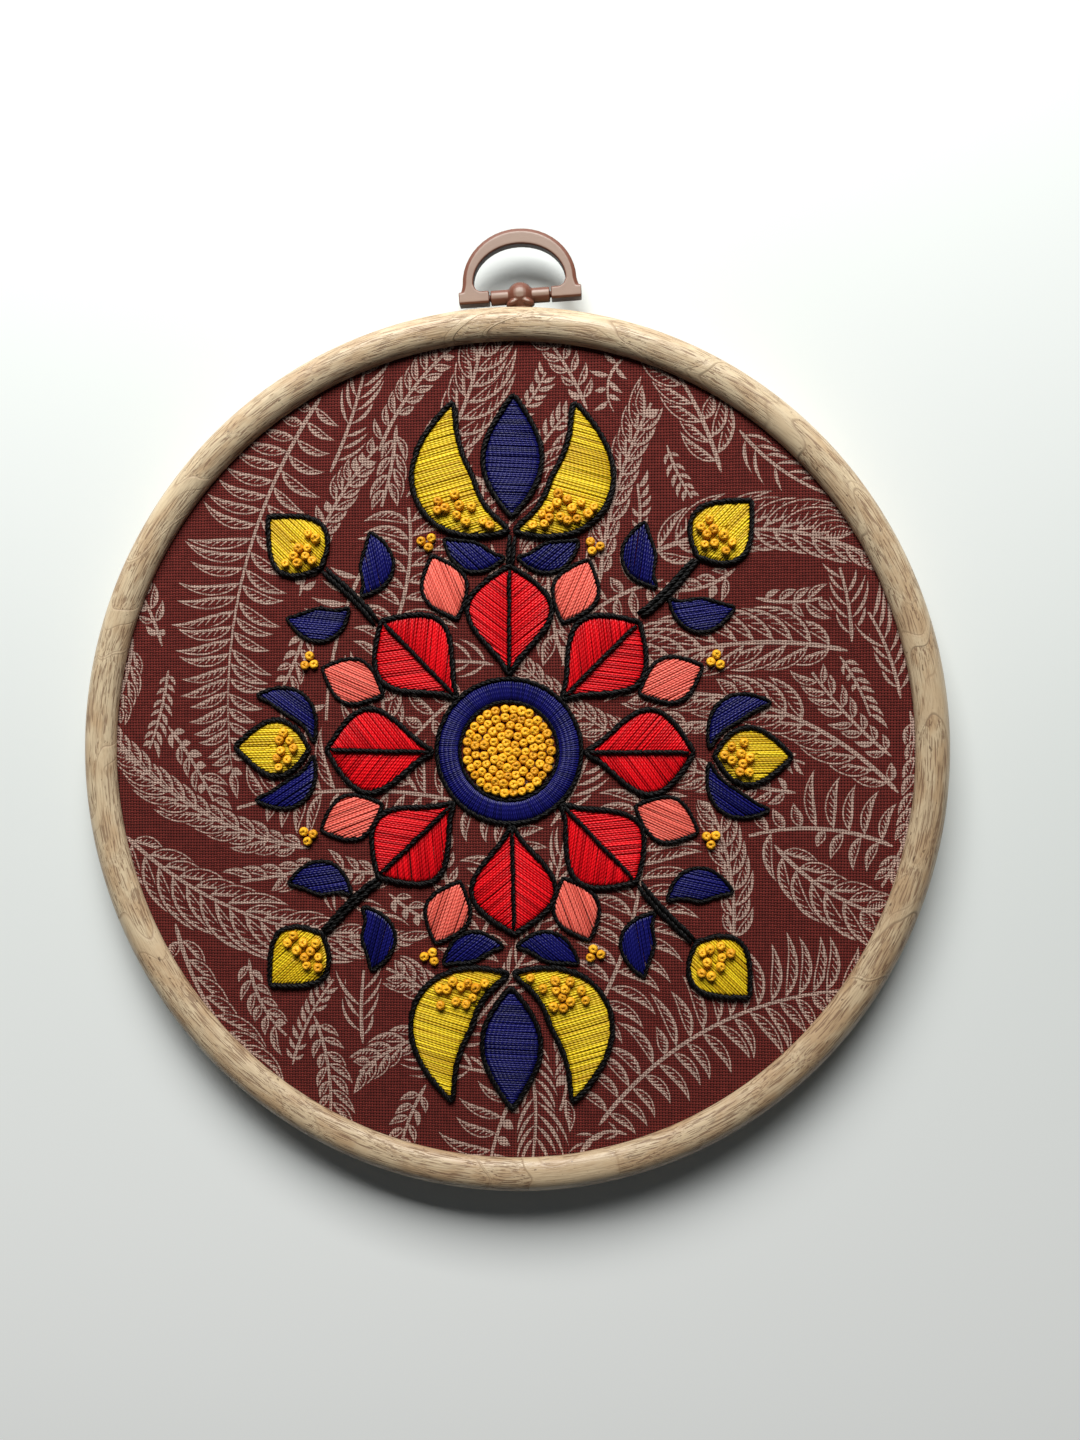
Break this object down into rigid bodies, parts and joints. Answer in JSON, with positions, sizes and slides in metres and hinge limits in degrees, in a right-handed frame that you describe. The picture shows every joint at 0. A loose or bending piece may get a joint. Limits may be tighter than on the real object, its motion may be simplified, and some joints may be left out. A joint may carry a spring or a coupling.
{
  "type": "embroidered cloth in a hoop with a hanger",
  "caption": "Printed cotton stretched in a round wood-look hoop, stitched with a folk medallion of petals and leaves, with a small swinging D hanger.",
  "frame": {"origin": "middle of the whole part's footprint on the surface that it lies on, so the hoop's centre is at y = -0.00758 m", "axes": "+Z out of the cloth's face, +X to the right of the design, +Y towards the hanger"},
  "size_m": [0.1644, 0.1828, 0.01],
  "materials": {
    "ring_vinyl": "moulded vinyl with a printed wood grain, satin",
    "inner_ring_plastic": "plain moulded plastic",
    "printed_cotton": "plain-woven burgundy cotton printed with taupe fronds",
    "hanger_plastic": "moulded brown plastic, satin",
    "thread_red": "stranded cotton, satin stitch",
    "thread_coral": "stranded cotton, satin stitch",
    "thread_navy": "stranded cotton, satin stitch",
    "thread_yellow": "stranded cotton, satin stitch",
    "thread_gold": "stranded cotton, knotted",
    "thread_black": "stranded cotton, stem stitch"
  },
  "bodies": {
    "hoop": {"outer_ring": "ring_vinyl", "inner_ring": "inner_ring_plastic", "cloth": "printed_cotton", "hanger_base": "hanger_plastic", "centre_knots": "thread_gold", "centre_band": "thread_navy", "main_1_petal": "thread_red", "main_2_petal": "thread_red", "main_3_petal": "thread_red", "main_4_petal": "thread_red", "main_5_petal": "thread_red", "main_6_petal": "thread_red", "main_7_petal": "thread_red", "main_8_petal": "thread_red", "between_1_petal_tip": "thread_coral", "between_2_petal_tip": "thread_coral", "between_3_petal_tip": "thread_coral", "between_4_petal_tip": "thread_coral", "between_5_petal_tip": "thread_coral", "between_6_petal_tip": "thread_coral", "between_7_petal_tip": "thread_coral", "between_8_petal_tip": "thread_coral", "tulip_1_stem": "thread_black", "tulip_1_leaf_right": "thread_navy", "tulip_1_leaf_left": "thread_navy", "tulip_1_side_right": "thread_yellow", "tulip_1_side_left": "thread_yellow", "tulip_1_middle": "thread_navy", "tulip_2_stem": "thread_black", "tulip_2_leaf_right": "thread_navy", "tulip_2_leaf_left": "thread_navy", "tulip_2_side_right": "thread_yellow", "tulip_2_side_left": "thread_yellow", "tulip_2_middle": "thread_navy", "bud_1_leaf_right": "thread_navy", "bud_1_leaf_left": "thread_navy", "bud_1_drop": "thread_yellow", "bud_2_leaf_right": "thread_navy", "bud_2_leaf_left": "thread_navy", "bud_2_drop": "thread_yellow", "spray_1_stem": "thread_black", "spray_1_leaf_right": "thread_navy", "spray_1_leaf_left": "thread_navy", "spray_1_drop": "thread_yellow", "spray_2_stem": "thread_black", "spray_2_leaf_right": "thread_navy", "spray_2_leaf_left": "thread_navy", "spray_2_drop": "thread_yellow", "spray_3_stem": "thread_black", "spray_3_leaf_right": "thread_navy", "spray_3_leaf_left": "thread_navy", "spray_3_drop": "thread_yellow", "spray_4_stem": "thread_black", "spray_4_leaf_right": "thread_navy", "spray_4_leaf_left": "thread_navy", "spray_4_drop": "thread_yellow"},
    "hanger": {"hanger_bail": "hanger_plastic"}
  },
  "joints": [
    {"name": "hanger_swing", "type": "hinge", "parent": "hoop", "child": "hanger", "pos_m": [0.002, 0.07887, 0.0046], "axis": [0.9986, 0.0523, 0], "range_deg": [-108, 108]}
  ]
}
